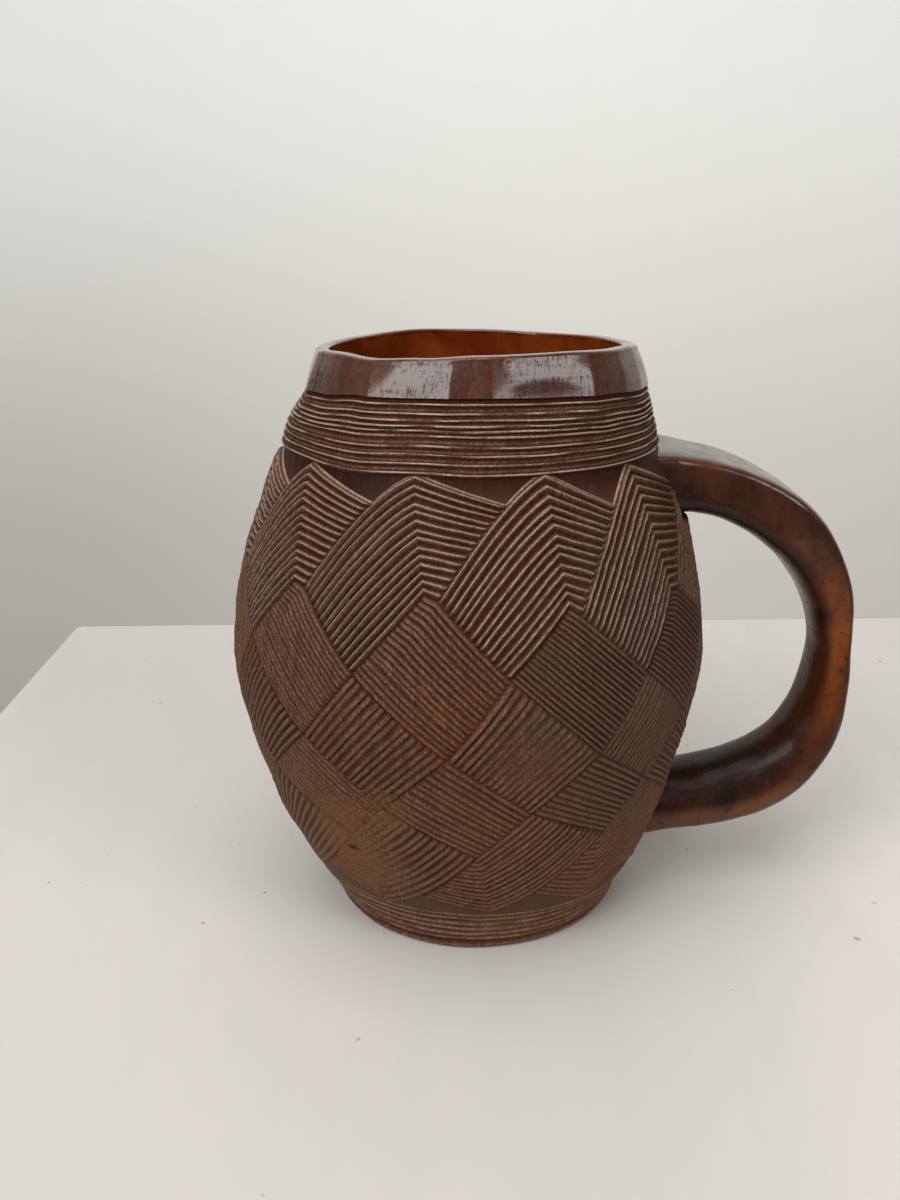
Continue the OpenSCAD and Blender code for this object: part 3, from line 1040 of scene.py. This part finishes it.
def carveStrap(bm, sides, bows, steps, course, seed):
    spans = len(bows)
    shape, ridges = course["shape"], course["ridges"]
    samples = len(shape)
    rows = ridges * samples
    hand = random.Random(seed)
    jitter = [hand.uniform(-knife["spacing"], knife["spacing"]) for k in range(ridges + 1)]
    heights = [hand.uniform(knife["lowest"], 1.0) for k in range(ridges + 1)]
    jitter[ridges] = 0.0

    def place(i, j):
        span = 0 if spans == 1 or i <= steps[0] else 1
        t = (i - (steps[0] if span else 0)) / steps[span]
        ridge, part = divmod(j, samples)
        offset, rise, shade = shape[part]
        v = (ridge + offset) / ridges
        hold = min(1, 4 * v, 4 * (1 - v))   # the borders stay where they are
        sway = noise.noise(Vector((ridge * 5.3, 3.1 * i / steps[0], seed)))
        v += hold * (jitter[ridge] + knife["sway"] * sway) / ridges
        start, end = sides[span](v), sides[span + 1](v)
        angle, z = chord(start, end, t, bows[span](v))
        length = hypot((end[0] - start[0]) * barrelRadius(z), end[1] - start[1])
        away = 1.0
        if span == 0:
            away = smoothStep(0, plait["end"], t * length)
        if span == spans - 1:
            away *= smoothStep(0, plait["end"], (1 - t) * length)
        p = Vector((cos(angle), sin(angle), z * 16))
        tired = course["wear"] * smoothStep(-0.4, 0.5, noise.noise(p * 2.3 + Vector((seed, 0, 3))))
        tired = max(tired, knife["rubbed"] * rubbed(onVessel(angle, barrelRadius(z), z)))
        fresh = 1 - knife["tired"] * tired
        nick = knife["nicks"][0] * noise.noise(p * 30) + knife["nicks"][1] * noise.noise(p * 75)
        high = rise * (heights[ridge] * fresh + nick) * mix(knife["endHeight"], 1.0, away)
        carved = plainNearRoots(angle, z)
        aboveFoot = smoothStep(cup["foot"], cup["foot"] + wall["footReach"], z)
        shallow = mix(plait["shallow"], 1.0, aboveFoot)
        lift = (high - 1) * course["depth"] * shallow + knife["nickRise"] * nick * shallow
        buried = groundRadius(z) - barrelRadius(z) - plait["bury"]
        lift = mix(buried, lift, carved)
        # crest sets the painted shade and highlight across each ridge
        crest = mix(midShade, shade, course["contrast"] * fresh) * mix(knife["endShade"], 1.0, away)
        crest *= carved * course["tone"] * shadeBesideHandle(angle, z)
        # pale edge above the hollows: wear and painted highlight
        if j == 0 and course["bevel"]:
            crest = knife["edgeShade"]
        return onVessel(angle, barrelRadius(z) + lift, z), crest, 0.0

    made = layGrid(bm, sum(steps), rows, place)
    closeUnder(bm, made, plait["skirt"], course["bevel"], course["bevelShade"])


courses = {                                 # bevel slopes the edge above the hollows
    "upperFolds": {
        "node": "upper_folds", "strap": upperFold, "shape": steepRidge, "ridges": 14, "wear": 0.15,
        "tone": 1.0, "contrast": 1.0, "depth": 1.05 * mm, "bevel": 1.2 * mm, "bevelShade": 0.25,
    },
    "highStraps": {
        "node": "strap_course_high", "strap": highStrap, "shape": roundRidge, "ridges": 17, "wear": 0.5,
        "tone": 0.89, "contrast": 0.78, "depth": 0.8 * mm, "bevel": 0.0, "bevelShade": 0.0,
    },
    "middleStraps": {
        "node": "strap_course_middle", "strap": middleStrap, "shape": roundRidge, "ridges": 15, "wear": 0.8,
        "tone": 0.94, "contrast": 0.75, "depth": 0.8 * mm, "bevel": 0.0, "bevelShade": 0.0,
    },
    "lowStraps": {
        "node": "strap_course_low", "strap": lowStrap, "shape": roundRidge, "ridges": 12, "wear": 0.5,
        "tone": 0.95, "contrast": 0.6, "depth": 0.75 * mm, "bevel": 0.0, "bevelShade": 0.0,
    },
    "lowerFolds": {
        "node": "lower_folds", "strap": lowerFold, "shape": roundRidge, "ridges": 13, "wear": 0.7,
        "tone": 1.0, "contrast": 0.55, "depth": 0.7 * mm, "bevel": 0.0, "bevelShade": 0.0,
    },
}


def makeCourse(name):
    course = courses[name]
    bm = newBuild()
    for k in range(plait["columns"]):
        carveStrap(bm, *course["strap"](k), course, k * 3.7 + course["ridges"])
    return finishPiece(name, bm, carvedWood, [course["node"]], 50)


for courseName in courses:
    makeCourse(courseName)
print("plait ready")


# Stage, light and camera

plinth = {
    "left": -0.169, "right": 0.235, "front": -0.135, "back": 0.199, "deep": 0.9, "edge": 0.004,
    "litPaint": ((rgb(0.51, 0.485, 0.455), rgb(0.585, 0.555, 0.522)),) * 2,     # low and high, left and right; paler to the right as painted light
    "across": (0.02, 0.13),
    "brushed": 0.15,
    "flecks": 0.8,
}
backdrop = {
    "away": 0.75, "half": 1.6, "low": -0.9, "high": 1.6,
    "litPaint": ((rgb(0.52, 0.495, 0.465), rgb(0.72, 0.69, 0.645)),
              (rgb(0.73, 0.72, 0.69), rgb(0.84, 0.825, 0.79))),
    "across": (-0.4, 0.15),                 # painted light: paler to the right, where the window is
    "brushed": 0.02,
    "flecks": 0.0,
}
paintTones = {"brush": rgb(0.40, 0.39, 0.365), "fleck": rgb(0.28, 0.25, 0.22)}


def litPaintFinish(name, board):               # painted light: paler with height and to the right
    f = Finish(name)
    brush = f.noise(f.stretched((1, 0.25, 1)), 45, 4, 0.6)
    dots = f.noise(f.place(), 210, 1, 0.4)
    across = f.window(f.axis("X"), *board["across"])
    low, high = [f.blend(across, *pair) for pair in board["litPaint"]]
    tone = f.blend(f.window(f.axis("Z"), -0.15, 0.3), low, high)
    tone = f.blend(f.window(brush, 0.3, 0.75) * board["brushed"], tone, paintTones["brush"])
    tone = f.blend(f.window(dots, 0.775, 0.80) * board["flecks"], tone, paintTones["fleck"])
    return f.use(Base_Color=tone, Roughness=0.6, Normal=f.bump(brush, 0.12, 0.002))


def stagePiece(name, bm, material):
    bmesh.ops.recalc_face_normals(bm, faces=bm.faces)
    mesh = bpy.data.meshes.new(name)
    bm.to_mesh(mesh)
    bm.free()
    mesh.materials.append(material)
    piece = bpy.data.objects.new(name, mesh)
    bpy.context.scene.collection.objects.link(piece)


def makeStage():
    bm = bmesh.new()
    near = Vector((plinth["left"], plinth["front"], -plinth["deep"]))
    far = Vector((plinth["right"], plinth["back"], 0))
    block = Matrix.Translation((near + far) / 2) @ Matrix.Diagonal((*(far - near), 1))
    bmesh.ops.create_cube(bm, size=1.0, matrix=block)
    bmesh.ops.bevel(bm, geom=bm.edges[:], offset=plinth["edge"], affect="EDGES", segments=4, profile=0.5,
                    material=-1)
    stagePiece("plinth", bm, litPaintFinish("plinthLitPaint", plinth))
    bm = bmesh.new()
    bmesh.ops.create_grid(bm, x_segments=1, y_segments=1, size=0.5)
    tall = backdrop["high"] - backdrop["low"]
    stand = Matrix.Rotation(pi / 2, 4, "X") @ Matrix.Diagonal((2 * backdrop["half"], tall, 1, 1))
    lift = Matrix.Translation((0, backdrop["away"], (backdrop["high"] + backdrop["low"]) / 2))
    bmesh.ops.transform(bm, matrix=lift @ stand, verts=bm.verts)
    stagePiece("backdrop", bm, litPaintFinish("wallLitPaint", backdrop))


lamps = (                                   # name, place, aim, size, power
    ("frontLeft", (-0.79, -0.91, 0.86), (0, 0, 0.07), 0.9, 17.0),
    ("frontRight", (0.90, -0.78, 0.64), (0, 0, 0.07), 0.61, 7.2),
    ("overhead", (-0.15, -0.3, 1.3), (0, 0, 0.05), 1.1, 10.5),
)
room = {"tint": rgb(1.0, 0.97, 0.93), "strength": 0.24}


def makeLamps():
    for name, place, aim, size, power in lamps:
        data = bpy.data.lights.new(name, "AREA")
        data.size = size
        data.energy = power
        lamp = bpy.data.objects.new(name, data)
        lamp.location = place
        lamp.rotation_euler = (Vector(aim) - Vector(place)).to_track_quat("-Z", "Y").to_euler()
        bpy.context.scene.collection.objects.link(lamp)
    world = bpy.data.worlds.new("dimRoom")
    world.use_nodes = True
    background = world.node_tree.nodes["Background"]
    background.inputs["Color"].default_value = room["tint"]
    background.inputs["Strength"].default_value = room["strength"]
    bpy.context.scene.world = world
    bpy.context.scene.view_settings.view_transform = "Standard"


view = {                                    # matched to the photograph's own frame
    "place": (-4.98 * mm, -274.8 * mm, 168.7 * mm),
    "pitch": 18.6,
    "roll": -0.59,
    "lens": 34.5,
}


def makeCamera():
    data = bpy.data.cameras.new("camera")
    data.sensor_width = 36
    data.lens = view["lens"]
    data.clip_start = 0.01
    camera = bpy.data.objects.new("camera", data)
    pitch = Matrix.Rotation(radians(90 - view["pitch"]), 4, "X")
    roll = Matrix.Rotation(radians(view["roll"]), 4, "Z")
    camera.matrix_world = Matrix.Translation(view["place"]) @ pitch @ roll
    bpy.context.scene.collection.objects.link(camera)
    bpy.context.scene.camera = camera


makeStage()
makeLamps()
makeCamera()
print("stage ready")
